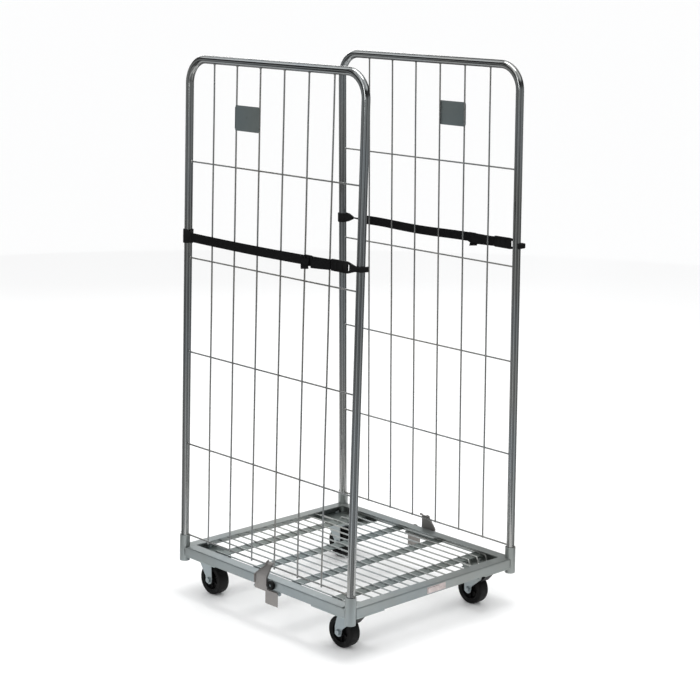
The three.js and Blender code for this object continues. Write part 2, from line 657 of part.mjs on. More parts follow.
function addSwivelCasters() {
  const top = CASTER_TOP - WHEEL_RADIUS;
  const pivotY = SWIVEL_Y - FRONT_AXLE_Y;
  const raceRadius = 29;
  const crownRadius = 31;
  const raceLow = top - 11;
  const crownTop = raceLow - GAP;
  const crownLow = crownTop - CASTER_SHEET;
  for (const side of [-1, 1]) {
    const place = `front_${sideName(side)}`;
    const group = new THREE.Group();
    group.position.set(side * CASTER_X, FRONT_AXLE_Y, WHEEL_RADIUS);
    cage.add(group);

    const upright = (low, high, radius, sides) =>
      bar([0, pivotY, low], [0, pivotY, high], radius, sides);
    const pinHole = upright(-WHEEL_RADIUS, top + WHEEL_RADIUS, AXLE_RADIUS + 0.4, 14);
    const plate = block([-PLATE_HALF, pivotY - 50, top - CASTER_SHEET],
      [PLATE_HALF, pivotY + 52, top]);
    const race = join(plate, upright(raceLow, top - 1, raceRadius, 20));
    addMesh(group, `swivel_plate_${place}`, toGeometry(cut(race, pinHole)), FORK_ZINC);

    const nutLow = CORNER_PLATE_TOP - WHEEL_RADIUS + GAP;
    const rivetTop = crownLow - GAP;
    const kingpin = join(upright(rivetTop - 2, nutLow + 10, AXLE_RADIUS, 14),
      upright(rivetTop - 3, rivetTop, 9, 14), upright(nutLow, nutLow + 8, 11, 6));
    addMesh(group, `kingpin_${place}`, toGeometry(kingpin), FORK_ZINC);

    const outline = legOutline([[pivotY - 24, crownTop], [BRAKE_Y - 9, 44], [-16, 12]],
      [[15, 14], [8, 42], [-6, crownTop]]);
    const crown = upright(crownLow, crownTop, crownRadius, 20);
    const tie = block([-FORK_INNER - 1, pivotY - 22, crownLow], [FORK_INNER + 1, -7, crownTop]);
    const fork = cut(join(crown, tie, ...legs(outline)), pinHole,
      forkHole(0, 0, AXLE_RADIUS, 14), forkHole(BRAKE_Y, BRAKE_Z, BRAKE_PIN, 12));
    addMesh(group, `swivel_fork_${place}`, toGeometry(fork), FORK_ZINC);

    const pedal = addMesh(group, `brake_pedal_${place}`, toGeometry(brakePedal()), PLASTIC);
    pedal.position.set(0, BRAKE_Y, BRAKE_Z);
    addAxle(group, place);
    addWheel(group, place);
  }
}

addRails();
addSockets();
addCornerPlates();
addFloor();
addFrontLabel();
addPanels();
addLatches();
addFixedCasters();
addSwivelCasters();

export default cage;
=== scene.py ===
"""Looks of the roll cage container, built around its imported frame. Metres, +Z up.

The side panels stand at -X (left) and +X (right). Front is -Y, rear is +Y.
"""
import json
import math

import bmesh
import bpy
from mathutils import Matrix, Vector, noise

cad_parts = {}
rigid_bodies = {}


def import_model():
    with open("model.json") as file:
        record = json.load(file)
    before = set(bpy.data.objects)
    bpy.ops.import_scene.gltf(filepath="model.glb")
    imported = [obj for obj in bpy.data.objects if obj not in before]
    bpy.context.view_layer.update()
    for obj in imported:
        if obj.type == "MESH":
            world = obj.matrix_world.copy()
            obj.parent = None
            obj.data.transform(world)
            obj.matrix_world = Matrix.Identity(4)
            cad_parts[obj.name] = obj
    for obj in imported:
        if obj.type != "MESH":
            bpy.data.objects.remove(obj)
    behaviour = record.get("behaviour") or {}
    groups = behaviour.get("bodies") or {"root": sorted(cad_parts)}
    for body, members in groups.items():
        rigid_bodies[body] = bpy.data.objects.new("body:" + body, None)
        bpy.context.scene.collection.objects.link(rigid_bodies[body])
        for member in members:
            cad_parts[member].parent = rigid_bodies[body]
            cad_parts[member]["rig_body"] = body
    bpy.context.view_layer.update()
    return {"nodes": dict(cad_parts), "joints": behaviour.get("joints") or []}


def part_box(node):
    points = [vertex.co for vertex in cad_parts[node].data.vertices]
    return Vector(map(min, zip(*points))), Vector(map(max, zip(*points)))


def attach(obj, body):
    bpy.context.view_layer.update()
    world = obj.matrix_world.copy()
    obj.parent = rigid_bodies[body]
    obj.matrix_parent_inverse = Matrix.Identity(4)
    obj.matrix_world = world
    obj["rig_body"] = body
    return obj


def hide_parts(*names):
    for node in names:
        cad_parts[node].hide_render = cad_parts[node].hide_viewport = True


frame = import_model()
NODES = frame["nodes"]
JOINTS = {joint["name"]: joint for joint in frame["joints"]}

SIDES = {"left": -1, "right": 1}
ENDS = {"front": -1, "rear": 1}

# ---------------------------------------------------------------- sizes from the frame
TUBE_R = 0.0125
WIRE_R = 0.0025
SHEET = 0.003
WHEEL_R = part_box("tyre_rear_left")[1][2] / 2
POLE_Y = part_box("tube_frame_left")[1][1] - TUBE_R
PANEL_X = 0.350
BOTTOM_WIRE_Z = 0.200
LIFT_AXIS = Vector(JOINTS["panel_left_lift"]["axis"])
LEAN = math.atan2(LIFT_AXIS.x, LIFT_AXIS.z)
TOP_TUBE = (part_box("tube_frame_left")[1][2] - BOTTOM_WIRE_Z) / math.cos(LEAN) - TUBE_R
RAIL_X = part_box("side_rail_right")[1][0]
RAIL_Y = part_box("rear_rail")[1][1]
RAIL_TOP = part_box("front_rail")[1][2]
RAIL_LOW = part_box("front_rail")[0][2]
PLATE_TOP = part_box("corner_plate_rear_left")[1][2]
WIRE_LEVELS = 5
WIRE_RISE = 0.300
UPRIGHTS = 6
UPRIGHT_PITCH = 0.106
WIRE_STACK = 0.0045
STRAP_Z = 0.967
STRAP_OUT = 0.0158


# ---------------------------------------------------------------- camera, light, floor
def add_camera():
    """The camera stands off the front left corner, at head height."""
    yaw, pitch, roll = (math.radians(angle) for angle in (46.308, -12.325, 0.839))
    forward = Vector((math.cos(pitch) * math.cos(yaw), math.cos(pitch) * math.sin(yaw), math.sin(pitch)))
    level = forward.cross(Vector((0, 0, 1))).normalized()
    upright = level.cross(forward)
    right = level * math.cos(roll) + upright * math.sin(roll)
    up = upright * math.cos(roll) - level * math.sin(roll)
    data = bpy.data.cameras.new("camera")
    data.lens = 92.36
    data.sensor_width = 36
    data.shift_x = -0.0005
    data.shift_y = -0.0033
    data.clip_end = 400
    camera = bpy.data.objects.new("camera", data)
    camera.matrix_world = Matrix.Translation((-3.7908, -3.9721, 2.0280)) @ Matrix(
        (right, up, -forward)).transposed().to_4x4()
    bpy.context.scene.collection.objects.link(camera)
    bpy.context.scene.camera = camera


def add_area(name, place, aim, size, power):
    data = bpy.data.lights.new(name, "AREA")
    data.shape = "RECTANGLE"
    data.size, data.size_y = size
    data.energy = power
    lamp = bpy.data.objects.new(name, data)
    lamp.location = place
    lamp.rotation_euler = (Vector(aim) - Vector(place)).to_track_quat("-Z", "Y").to_euler()
    bpy.context.scene.collection.objects.link(lamp)


def feed(tree, value, socket):
    """Links another node's output to a socket, or sets a plain value on it."""
    if isinstance(value, bpy.types.NodeSocket):
        tree.links.new(value, socket)
    else:
        socket.default_value = value


def color_ramp(tree, source, stops):
    """A ramp of (position, colour) stops, read at the source."""
    ramp = tree.nodes.new("ShaderNodeValToRGB")
    elements = ramp.color_ramp.elements
    while len(elements) < len(stops):
        elements.new(0.5)
    for element, (position, color) in zip(elements, stops):
        element.position = position
        element.color = (*color, 1)
    tree.links.new(source, ramp.inputs["Fac"])
    return ramp.outputs["Color"]


def remapped(tree, source, start, end):
    """Maps a value that runs from start[0] to end[0] to one that runs from start[1] to end[1]."""
    node = tree.nodes.new("ShaderNodeMapRange")
    for label, number in zip(("From Min", "To Min", "From Max", "To Max"), (*start, *end)):
        node.inputs[label].default_value = number
    tree.links.new(source, node.inputs["Value"])
    return node.outputs["Result"]


# Brightness of the gloss room's bands, and how its walls fade with height until the ceiling glows.
DARK, MIDDLE, BRIGHT = 0.04, 0.34, 1.0
WALL_FADE = ((1.6, 1.0), (3.2, 0.22))
CEILING_GLOW = ((4.6, 0.0), (5.9, 2.2))


def band_material(name, near, far):
    """A backdrop for reflections: soft upright bands around the object, lighter close to it."""
    material = bpy.data.materials.new(name)
    material.use_nodes = True
    tree = material.node_tree
    nodes, links = tree.nodes, tree.links
    nodes.remove(nodes["Principled BSDF"])

    def math_node(operation, first, second=0.0):
        node = nodes.new("ShaderNodeMath")
        node.operation = operation
        for index, value in enumerate((first, second)):
            feed(tree, value, node.inputs[index])
        return node.outputs[0]

    place = nodes.new("ShaderNodeTexCoord").outputs["Object"]
    split = nodes.new("ShaderNodeSeparateXYZ")
    links.new(place, split.inputs[0])
    azimuth = math_node("ARCTAN2", split.outputs["Y"], split.outputs["X"])
    bands = 0.5
    for count, shift, size in ((4, 0.6, 0.24), (9, 2.1, 0.16), (17, 4.0, 0.10)):
        turn = math_node("ADD", math_node("MULTIPLY", azimuth, count), shift)
        bands = math_node("ADD", math_node("MULTIPLY", math_node("SINE", turn), size), bands)
    stops = ((0.20, DARK), (0.40, MIDDLE), (0.72, MIDDLE), (0.92, BRIGHT))
    tone = color_ramp(tree, bands, [(position, (shade * 0.97, shade * 0.99, shade))
                                    for position, shade in stops])
    distance = nodes.new("ShaderNodeVectorMath")
    distance.operation = "LENGTH"
    links.new(place, distance.inputs[0])
    fade = remapped(tree, distance.outputs["Value"], near, far)
    walls = math_node("MULTIPLY", fade, remapped(tree, split.outputs["Z"], *WALL_FADE))
    ceiling = remapped(tree, split.outputs["Z"], *CEILING_GLOW)
    glow = nodes.new("ShaderNodeEmission")
    links.new(tone, glow.inputs["Color"])
    links.new(math_node("ADD", walls, ceiling), glow.inputs["Strength"])
    links.new(glow.outputs[0], nodes["Material Output"].inputs["Surface"])
    return material


def add_gloss_room():
    """A round room that only gloss sees, so the metal has dark and light to mirror on a pale floor."""
    radius, height, gap, sides = 7.0, 6.0, 0.95, 96
    rings = [circle(Vector((0, 0, z)), Vector((1, 0, 0)), Vector((0, 1, 0)), size, sides)
             for size, z in ((gap, 0.002), (radius, 0.002), (radius, height), (0.02, height))]
    bm = bmesh.new()
    loft(bm, rings, cap=False)
    room = finish_mesh("gloss_room", bm, band_material("gloss_room", (gap, 1.5), (radius * 0.8, 0.75)))
    room.visible_camera = False
    room.visible_diffuse = False
    room.visible_shadow = False
    room.visible_transmission = False


def add_deck_card(azimuth, shade):
    """A long low card all round, which only gloss sees: flat steel at deck height mirrors it."""
    turn = math.radians(azimuth)
    outward = Vector((math.cos(turn), math.sin(turn), 0))
    across = Vector((-outward.y, outward.x, 0))
    distance, half, low, high = 5.2, 2.2, 0.75, 2.05
    bm = bmesh.new()
    corners = [outward * distance + across * way * half + Vector((0, 0, z))
               for way, z in ((-1, low), (1, low), (1, high), (-1, high))]
    bm.faces.new([bm.verts.new(corner) for corner in corners])
    name = f"deck_card_{azimuth}"
    material = plain_material(name, (0, 0, 0, 1))
    shader = material.node_tree.nodes["Principled BSDF"]
    shader.inputs["Emission Color"].default_value = (0.95, 0.99, 1.0, 1)
    shader.inputs["Emission Strength"].default_value = shade
    card = finish_mesh(name, bm, material)
    card.visible_camera = False
    card.visible_diffuse = False
    card.visible_shadow = False


def add_studio():
    world = bpy.data.worlds.new("studio")
    world.use_nodes = True
    nodes, links = world.node_tree.nodes, world.node_tree.links
    place = nodes.new("ShaderNodeTexCoord")
    split = nodes.new("ShaderNodeSeparateXYZ")
    links.new(place.outputs["Generated"], split.inputs[0])
    sky = color_ramp(world.node_tree, split.outputs["Z"], [(0.0, (0.80, 0.81, 0.82)), (0.75, (1, 1, 1))])
    links.new(sky, nodes["Background"].inputs["Color"])
    nodes["Background"].inputs["Strength"].default_value = 1.10
    bpy.context.scene.world = world
    bpy.context.scene.view_settings.view_transform = "Standard"
    add_area("overhead", (0.05, -0.3, 3.6), (0.05, -0.3, 0), (0.9, 1.8), 34)
    add_area("front", (-4.4, -1.6, 2.6), (0, 0, 0.6), (0.7, 2.4), 26)
    add_area("back", (2.6, 3.8, 2.8), (0, 0, 0.9), (2.2, 0.8), 26)
    bm = bmesh.new()
    bmesh.ops.create_grid(bm, x_segments=1, y_segments=1, size=150)
    floor = finish_mesh("floor", bm, plain_material("floor", (0.93, 0.93, 0.93, 1)))
    add_gloss_room()
    for azimuth, shade in ((46, 0.42), (226, 0.42), (316, 0.36), (136, 0.36)):
        add_deck_card(azimuth, shade)


# ---------------------------------------------------------------- materials
def plain_material(name, color):
    material = bpy.data.materials.new(name)
    material.use_nodes = True
    shader = material.node_tree.nodes["Principled BSDF"]
    shader.inputs["Base Color"].default_value = color
    shader.inputs["Roughness"].default_value = 0.8
    return material


class Surface:
    """A material under construction: short calls add its noise, colour, roughness and bump."""

    def __init__(self, name, metallic=0.0):
        self.material = bpy.data.materials.new(name)
        self.material.use_nodes = True
        self.nodes = self.material.node_tree.nodes
        self.links = self.material.node_tree.links
        self.shader = self.nodes["Principled BSDF"]
        self.shader.inputs["Metallic"].default_value = metallic
        self.place = self.nodes.new("ShaderNodeTexCoord").outputs["Object"]
        self.height = None

    def stretched(self, scale):
        mapping = self.nodes.new("ShaderNodeMapping")
        mapping.inputs["Scale"].default_value = scale
        self.links.new(self.place, mapping.inputs["Vector"])
        return mapping.outputs["Vector"]

    def noise(self, scale, detail=4.0, stretch=(1, 1, 1)):
        texture = self.nodes.new("ShaderNodeTexNoise")
        texture.inputs["Scale"].default_value = scale
        texture.inputs["Detail"].default_value = detail
        self.links.new(self.stretched(stretch), texture.inputs["Vector"])
        return texture.outputs["Fac"]

    def cells(self, scale):
        texture = self.nodes.new("ShaderNodeTexVoronoi")
        texture.inputs["Scale"].default_value = scale
        self.links.new(self.place, texture.inputs["Vector"])
        return texture.outputs["Distance"]

    def ramp(self, source, stops):
        return color_ramp(self.material.node_tree, source, stops)

    def mix(self, amount, first, second, mode="MIX"):
        mix = self.nodes.new("ShaderNodeMix")
        mix.data_type = "RGBA"
        mix.blend_type = mode
        for value, key in ((amount, 0), (first, 6), (second, 7)):
            if isinstance(value, tuple):
                value = (*value, 1)
            feed(self.material.node_tree, value, mix.inputs[key])
        return mix.outputs[2]

    def spread(self, source, low, high):
        """Spreads the middle of a noise's range over low to high."""
        return remapped(self.material.node_tree, source, (0.3, low), (0.7, high))

    def color(self, source):
        self.links.new(source, self.shader.inputs["Base Color"])

    def roughness(self, source):
        self.links.new(source, self.shader.inputs["Roughness"])

    def bump(self, source, strength, distance):
        bump = self.nodes.new("ShaderNodeBump")
        bump.inputs["Strength"].default_value = strength
        bump.inputs["Distance"].default_value = distance
        self.links.new(source, bump.inputs["Height"])
        if self.height is not None:
            self.links.new(self.height, bump.inputs["Normal"])
        self.height = bump.outputs["Normal"]
        self.links.new(self.height, self.shader.inputs["Normal"])


def zinc(name, base, roughness, stretch=(1, 1, 1), contrast=0.10, tint=0.5, grain=0.05, metallic=0.75):
    """Zinc plated steel: cloudy passivation in blue and straw, drawn streaks, small scuffs."""
    surface = Surface(name, metallic)
    clouds = surface.noise(9, 5, stretch)
    dark = tuple(value * (1 - contrast) for value in base)
    light = tuple(min(value * (1 + contrast), 0.95) for value in base)
    shade = surface.ramp(clouds, [(0.3, dark), (0.5, base), (0.72, light)])
    blue = tuple(value * scale for value, scale in zip(base, (0.93, 1.0, 1.05)))
    straw = tuple(value * scale for value, scale in zip(base, (1.05, 1.0, 0.91)))
    passivation = surface.ramp(surface.noise(3.1, 2), [(0.38, blue), (0.62, straw)])
    body = surface.mix(tint, shade, passivation)
    scuffs = surface.ramp(surface.noise(70, 6, stretch), [(0.66, (1, 1, 1)), (0.74, (0.80, 0.79, 0.78))])
    surface.color(surface.mix(0.8, body, scuffs, "MULTIPLY"))
    surface.roughness(surface.spread(surface.noise(38, 5, stretch), roughness - 0.04, roughness + 0.06))
    surface.bump(surface.noise(420, 3, stretch), grain, 0.0002)
    surface.bump(surface.noise(24, 2, stretch), grain, 0.001)
    return surface.material


def moulded(name, base, roughness, grain, dust=0.35):
    """Black moulded plastic or rubber: fine grain, a little grey dust in the low places."""
    surface = Surface(name)
    grey = tuple(value + 0.006 for value in base)
    patches = surface.ramp(surface.noise(14, 6), [(0.45, base), (0.80, grey)])
    fine = surface.ramp(surface.noise(260, 3), [(0.4, base), (0.8, grey)])
    surface.color(surface.mix(dust, patches, fine))
    surface.roughness(surface.spread(surface.noise(45, 5), roughness - 0.08, roughness + 0.10))
    surface.bump(surface.cells(grain), 0.18, 0.0002)
    surface.bump(surface.noise(90, 3), 0.06, 0.0006)
    surface.shader.inputs["Specular IOR Level"].default_value = 0.18
    return surface.material


def woven(name):
    """Polyester webbing: rows of V-shaped yarns that follow the strap's own length and width."""
    surface = Surface(name)
    place = surface.nodes.new("ShaderNodeUVMap").outputs["UV"]
    yarns = []
    for turn in (0.62, -0.62):
        mapping = surface.nodes.new("ShaderNodeMapping")
        mapping.inputs["Rotation"].default_value = (0, 0, turn)
        surface.links.new(place, mapping.inputs["Vector"])
        wave = surface.nodes.new("ShaderNodeTexWave")
        wave.inputs["Scale"].default_value = 190
        wave.inputs["Distortion"].default_value = 0.3
        surface.links.new(mapping.outputs["Vector"], wave.inputs["Vector"])
        yarns.append(wave.outputs["Fac"])
    twill = surface.mix(0.5, yarns[0], yarns[1], "LIGHTEN")
    surface.color(surface.ramp(twill, [(0.2, (0.0015, 0.0015, 0.0018)), (0.9, (0.006, 0.006, 0.0065))]))
    surface.roughness(surface.spread(surface.noise(60, 3), 0.72, 0.90))
    surface.bump(twill, 0.7, 0.0005)
    surface.bump(surface.noise(900, 2), 0.15, 0.0002)
    surface.shader.inputs["Specular IOR Level"].default_value = 0.12
    return surface.material


def sticker(name):
    """A blank, faded sticker: scuffed film with grey dirt."""
    surface = Surface(name)
    film = surface.ramp(surface.noise(26, 5), [(0.3, (0.44, 0.38, 0.37)), (0.7, (0.58, 0.50, 0.49))])
    dirt = surface.ramp(surface.noise(110, 6), [(0.5, (1, 1, 1)), (0.75, (0.66, 0.64, 0.62))])
    surface.color(surface.mix(0.9, film, dirt, "MULTIPLY"))
    surface.roughness(surface.spread(surface.noise(60, 3), 0.35, 0.60))
    surface.bump(surface.noise(240, 3), 0.08, 0.0003)
    return surface.material


MATERIALS = {
    "zinc_steel": zinc("zinc_steel", (0.275, 0.300, 0.303), 0.34),
    "zinc_tube": zinc("zinc_tube", (0.34, 0.35, 0.355), 0.12, (1, 1, 0.06), 0.06, grain=0.015, metallic=1.0),
    "zinc_wire": zinc("zinc_wire", (0.30, 0.30, 0.295), 0.28, grain=0.03, metallic=0.9),
    # Painted light: the floor wires are the same zinc steel, given a lighter copy here for the light they
    # catch facing up.
    "zinc_floor_painted_light": zinc("zinc_floor_painted_light", (0.44, 0.46, 0.46), 0.32, grain=0.03),
    # Painted shade: the floor strips are the same zinc steel, given a darker copy here for the shade and dark
    # reflection on them.
    "zinc_strip_painted_shade": zinc("zinc_strip_painted_shade", (0.17, 0.195, 0.19), 0.42, contrast=0.14),
    # Painted light: the corner plates are the same zinc steel, given a lighter copy here to make up for the
    # dark they mirror.
    "zinc_corner_painted_light": zinc("zinc_corner_painted_light", (0.34, 0.38, 0.375), 0.42, contrast=0.14),
    "zinc_sheet": zinc("zinc_sheet", (0.19, 0.22, 0.225), 0.40, contrast=0.14),
    "zinc_latch": zinc("zinc_latch", (0.27, 0.255, 0.245), 0.38, contrast=0.10, tint=0.2),
    "zinc_caster": zinc("zinc_caster", (0.31, 0.345, 0.36), 0.34),
    "blank_label": sticker("blank_label"),
    "black_rubber": moulded("black_rubber", (0.002, 0.002, 0.002), 0.55, 900, 0.10),
    "black_plastic": moulded("black_plastic", (0.002, 0.002, 0.0022), 0.48, 1400, 0.10),
    "strap_rubber": moulded("strap_rubber", (0.002, 0.002, 0.002), 0.52, 1100, 0.10),
    "black_webbing": woven("black_webbing"),
}


# ---------------------------------------------------------------- mesh helpers
def finish_mesh(name, bm, material, sharp=32):
    bmesh.ops.recalc_face_normals(bm, faces=bm.faces)
    mesh = bpy.data.meshes.new(name)
    bm.to_mesh(mesh)
    bm.free()
    mesh.shade_smooth()
    mesh.set_sharp_from_angle(angle=math.radians(sharp))
    mesh.materials.append(material)
    piece = bpy.data.objects.new(name, mesh)
    bpy.context.scene.collection.objects.link(piece)
    return piece


def add_piece(name, bm, slot, body, replaced=(), sharp=32, look=None):
    """Makes the object's piece, with its material, on its body, standing for its CAD nodes."""
    piece = finish_mesh(name, bm, MATERIALS[look or slot], sharp)
    flat = piece.modifiers.new("flat_faces_stay_flat", "WEIGHTED_NORMAL")
    flat.keep_sharp = True
    flat.weight = 90
    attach(piece, body)
    if replaced:
        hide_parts(*replaced)
    return piece


def loft(bm, rings, cap=True):
    """Skin over rings of points. Every ring has the same number of points."""
    rows = [[bm.verts.new(point) for point in ring] for ring in rings]
    for low, high in zip(rows, rows[1:]):
        for index in range(len(low)):
            after = (index + 1) % len(low)
            bm.faces.new((low[index], low[after], high[after], high[index]))
    if cap:
        bm.faces.new(rows[0][::-1])
        bm.faces.new(rows[-1])


def along(points):
    """Direction of a path at each of its points, and a frame that doesn't twist along it."""
    directions = []
    for index in range(len(points)):
        before = points[max(index - 1, 0)]
        after = points[min(index + 1, len(points) - 1)]
        directions.append((after - before).normalized())
    side = directions[0].orthogonal().normalized()
    frames = []
    for direction in directions:
        side = (side - direction * side.dot(direction)).normalized()
        frames.append((side, direction.cross(side)))
    return frames


def circle(middle, first, second, radius, sides):
    return [middle + (first * math.cos(turn) + second * math.sin(turn)) * radius
            for turn in (index * 2 * math.pi / sides for index in range(sides))]


def rod(bm, points, radius, sides=16, edge=0.0005):
    """A round bar along points, its ends eased."""
    points = [Vector(point) for point in points]
    start = points[0] + (points[1] - points[0]).normalized() * edge
    end = points[-1] + (points[-2] - points[-1]).normalized() * edge
    path = [points[0], start, *points[1:-1], end, points[-1]]
    radii = [radius - edge, *[radius] * (len(path) - 2), radius - edge]
    rings = [circle(point, *axes, size, sides)
             for point, axes, size in zip(path, along(path), radii)]
    loft(bm, rings)


def turned(bm, profile, matrix, sides=40):
    """A solid of revolution about the matrix's Z. A profile off the axis closes on itself."""
    rows = []
    for index in range(sides):
        turn = index * 2 * math.pi / sides
        rows.append([bm.verts.new(matrix @ Vector((r * math.cos(turn), r * math.sin(turn), z)))
                     for r, z in profile])
    count = len(profile)
    for index in range(sides):
        row, after = rows[index], rows[(index + 1) % sides]
        for step in range(count):
            following = (step + 1) % count
            bm.faces.new((row[step], after[step], after[following], row[following]))


def level_ring(matrix, radius, z, sides):
    """Points round the matrix's Z axis, at one height along it."""
    return [matrix @ Vector((radius * math.cos(turn), radius * math.sin(turn), z))
            for turn in (index * 2 * math.pi / sides for index in range(sides))]


def disc(bm, profile, matrix, sides=32):
    """A turned solid whose profile runs from the axis out and back to the axis."""
    loft(bm, [level_ring(matrix, radius, z, sides) for radius, z in profile])


def eased(bm, geometry, width, segments=2):
    edges = [edge for edge in geometry if edge.is_valid and edge.calc_face_angle(0) > math.radians(30)]
    bmesh.ops.bevel(bm, geom=edges, offset=width, segments=segments, affect="EDGES", profile=0.6,
                    clamp_overlap=True)


def slab(bm, low, high, edge=0.0005, matrix=None, segments=2):
    """A box with eased edges between two corners."""
    made = bmesh.ops.create_cube(bm, size=1)["verts"]
    low, high = Vector(low), Vector(high)
    size = high - low
    bmesh.ops.transform(bm, verts=made, matrix=Matrix.Translation((low + high) / 2)
                        @ Matrix.Diagonal((*size, 1)))
    if matrix is not None:
        bmesh.ops.transform(bm, verts=made, matrix=matrix)
    edges = list({edge for vert in made for edge in vert.link_edges})
    eased(bm, edges, edge, segments)


def plate(bm, outline, low, high, to_space, edge=0.0004, segments=2):
    """An outline of (a, b) pairs given depth, placed by to_space(a, b, depth)."""
    first = [bm.verts.new(to_space(a, b, low)) for a, b in outline]
    second = [bm.verts.new(to_space(a, b, high)) for a, b in outline]
    faces = [bm.faces.new(first), bm.faces.new(second[::-1])]
    for index in range(len(outline)):
        after = (index + 1) % len(outline)
        faces.append(bm.faces.new((first[index], second[index], second[after], first[after])))
    bmesh.ops.recalc_face_normals(bm, faces=faces)
    if edge:
        eased(bm, list({line for face in faces for line in face.edges}), edge, segments)


def rectangle(low_a, low_b, high_a, high_b):
    return [(low_a, low_b), (high_a, low_b), (high_a, high_b), (low_a, high_b)]


def rounded(corners, radius, steps=4):
    """An outline with its corners rounded. Each corner is (a, b) or (a, b, radius)."""
    points = []
    for index, corner in enumerate(corners):
        here = Vector(corner[:2])
        size = corner[2] if len(corner) > 2 else radius
        before = Vector(corners[index - 1][:2]) - here
        after = Vector(corners[(index + 1) % len(corners)][:2]) - here
        if size == 0:
            points.append(tuple(here))
            continue
        size = min(size, before.length * 0.49, after.length * 0.49)
        start = here + before.normalized() * size
        end = here + after.normalized() * size
        for step in range(steps + 1):
            part = step / steps
            point = start.lerp(here, part).lerp(here.lerp(end, part), part)
            points.append(tuple(point))
    return points


def blob(bm, place, size, seed=0):
    """A spot of weld: a squashed ball with an uneven skin."""
    made = bmesh.ops.create_icosphere(bm, subdivisions=2, radius=1)["verts"]
    for vert in made:
        swell = 1 + 0.16 * noise.noise(vert.co * 1.7 + Vector((seed * 3.1, seed, 0)))
        vert.co = Vector(place) + Vector(vert.co[i] * size[i] for i in range(3)) * swell


def bead(bm, start, end, radius, seed=0):
    """A weld seam: overlapping ripples along a line."""
    start, end = Vector(start), Vector(end)
    length = (end - start).length
    count = max(int(length / (radius * 0.45)), 6)
    points = [start.lerp(end, index / count) for index in range(count + 1)]
    rings = []
    for index, (point, axes) in enumerate(zip(points, along(points))):
        ripple = 0.86 + 0.14 * math.cos(index * math.pi)
        swell = 1 + 0.18 * noise.noise(point * 300 + Vector((seed, 0, 0)))
        fade = min(1, 0.45 + min(index, count - index) * 0.3)
        rings.append(circle(point, *axes, radius * ripple * swell * fade, 10))
    loft(bm, rings)


def hexagon(bm, matrix, across, height, low=0.0):
    """A hexagon nut or bolt head with chamfered corners, standing on the matrix's XY plane."""
    radius = across / math.sqrt(3)
    chamfer = radius * 0.10
    profile = [(radius - chamfer * 0.4, low), (radius, low + chamfer * 0.5),
               (radius, low + height - chamfer), (radius - chamfer, low + height)]
    disc(bm, profile, matrix, 6)


def refined(node, slot, edge=0.0005, sharp=32, turn_limit=28, look=None):
    """The CAD node's own shape with clean faces and eased edges, as a piece that replaces it."""
    bm = bmesh.new()
    bm.from_mesh(NODES[node].data)
    bmesh.ops.remove_doubles(bm, verts=bm.verts, dist=0.00002)
    bmesh.ops.dissolve_limit(bm, angle_limit=math.radians(2), verts=bm.verts, edges=bm.edges)
    edges = [line for line in bm.edges if line.calc_face_angle(0) > math.radians(turn_limit)]
    bmesh.ops.bevel(bm, geom=edges, offset=edge, segments=2, affect="EDGES", profile=0.6,
                    clamp_overlap=True)
    return add_piece(f"{node}_shell", bm, slot, NODES[node]["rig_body"], [node], sharp, look)


def panel_space(side):
    """From a panel's own frame, with z = 0 at its bottom wire, to the row frame."""
    return Matrix.Translation((side * PANEL_X, 0, BOTTOM_WIRE_Z)) @ Matrix.Rotation(-side * LEAN, 4, "Y")


def add_side_piece(kind, name, side, bm, slot, body, node=None, sharp=32):
    """Adds what was modelled in a panel's own frame, on that side's panel or strap."""
    bm.transform(panel_space(side))
    add_piece(f"{kind}_{name}", bm, slot, f"{body}_{name}", [f"{node}_{name}"] if node else (), sharp)


# ---------------------------------------------------------------- side panels
def add_tube_frame(name, side):
    bend, wall, depth, inside = 0.075, 0.002, 0.080, 0.050
    steps, sides = 18, 36
    corner = TOP_TUBE - bend
    path = [Vector((0, POLE_Y, -depth)), Vector((0, POLE_Y, -depth + 0.0006))]
    for end in (1, -1):
        turns = range(steps + 1) if end > 0 else range(steps, -1, -1)
        for step in turns:
            turn = step / steps * math.pi / 2
            path.append(Vector((0, end * (POLE_Y - bend + bend * math.cos(turn)),
                                corner + bend * math.sin(turn))))
    path += [Vector((0, -POLE_Y, -depth + 0.0006)), Vector((0, -POLE_Y, -depth))]
    radii = [TUBE_R - 0.0005, *[TUBE_R] * (len(path) - 2), TUBE_R - 0.0005]
    outside = [circle(point, *axes, radius, sides)
               for point, axes, radius in zip(path, along(path), radii)]
    bore = TUBE_R - wall
    first_axes, last_axes = along(path)[0], along(path)[-1]
    start = [circle(path[0] + Vector((0, 0, rise)), *first_axes, bore, sides) for rise in (inside, 0)]
    end = [circle(path[-1] + Vector((0, 0, rise)), *last_axes, bore, sides) for rise in (0, inside)]
    bm = bmesh.new()
    loft(bm, [*start, *outside, *end])
    add_side_piece("panel_tube", name, side, bm, "zinc_tube", "panel", "tube_frame")


def upright_places():
    return [(index - (UPRIGHTS - 1) / 2) * UPRIGHT_PITCH for index in range(UPRIGHTS)]


def add_wire_mesh(name, side):
    """Round wires, a little bowed as drawn wire is, pressed into each other where they cross."""
    bm = bmesh.new()
    pole_face = POLE_Y - TUBE_R + 0.001
    for level in range(WIRE_LEVELS):
        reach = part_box(f"wire_mesh_{name}")[1][1] if level == 0 else pole_face
        height = level * WIRE_RISE
        rod(bm, [(0, -reach, height), (0, -reach / 2, height), (0, reach / 2, height), (0, reach, height)],
            WIRE_R, 16)
    for index, y in enumerate(upright_places()):
        bow = 0.0007 * math.sin(index * 2.4 + side)
        heights = [-0.004, 0.15, 0.45, 0.75, 1.05, 1.35, TOP_TUBE - TUBE_R + 0.001]
        shape = [0, 1, -0.6, 0.8, -0.5, 0.6, 0]
        rod(bm, [(side * WIRE_STACK, y + bow * part, height) for height, part in zip(heights, shape)],
            WIRE_R, 16)
    add_side_piece("panel_wires", name, side, bm, "zinc_wire", "panel", "wire_mesh")


